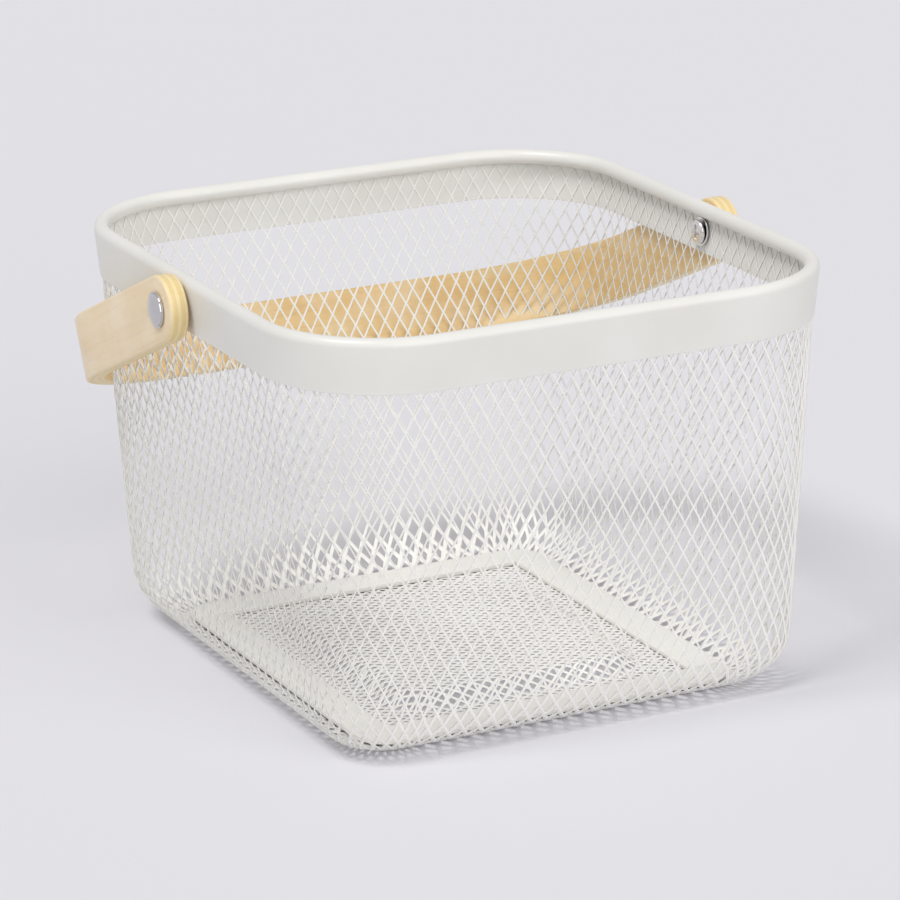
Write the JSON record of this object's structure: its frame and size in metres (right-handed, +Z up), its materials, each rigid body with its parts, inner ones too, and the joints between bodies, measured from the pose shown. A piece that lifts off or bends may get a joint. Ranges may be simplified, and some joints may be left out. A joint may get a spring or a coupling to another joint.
{
  "type": "wire locker basket",
  "caption": "Tapered open-top storage basket of expanded steel mesh with a rolled rim band and a swinging bent plywood carrying handle.",
  "frame": {"origin": "middle of the whole footprint on the floor, with the handle folded to the back, 5.2 mm behind the middle of the basket itself", "axes": "+Z up, +X across the two handle pivots, +Y towards the wall that the folded handle rests on"},
  "size_m": [0.2742, 0.2774, 0.1845],
  "materials": {
    "painted_steel": "warm off-white powder coat, satin",
    "birch_plywood": "clear lacquered bent birch plywood, visible plies on the edges",
    "bright_plating": "bright plated",
    "zinc_plating": "zinc plated"
  },
  "bodies": {
    "basket": {"rim_band": "painted_steel", "wall_mesh_right": "painted_steel", "wall_mesh_left": "painted_steel", "wall_mesh_back": "painted_steel", "wall_mesh_front": "painted_steel", "wall_mesh_corner_back_right": "painted_steel", "wall_mesh_corner_back_left": "painted_steel", "wall_mesh_corner_front_left": "painted_steel", "wall_mesh_corner_front_right": "painted_steel", "wall_mesh_foot": "painted_steel", "base_strip_front": "painted_steel", "base_strip_back": "painted_steel", "base_strip_left": "painted_steel", "base_strip_right": "painted_steel", "base_panel": "painted_steel", "handle_spacer_left": "painted_steel", "handle_spacer_right": "painted_steel", "barrel_nut_left": "bright_plating", "barrel_nut_right": "bright_plating", "pivot_washer_left": "zinc_plating", "pivot_washer_right": "zinc_plating", "pivot_screw_left": "zinc_plating", "pivot_screw_right": "zinc_plating"},
    "handle": {"handle": "birch_plywood"}
  },
  "joints": [
    {"name": "handle_swing", "type": "hinge", "parent": "basket", "child": "handle", "pos_m": [0, -0.00517, 0.1705], "axis": [1, 0, 0], "range_deg": [0, 227.2]}
  ]
}
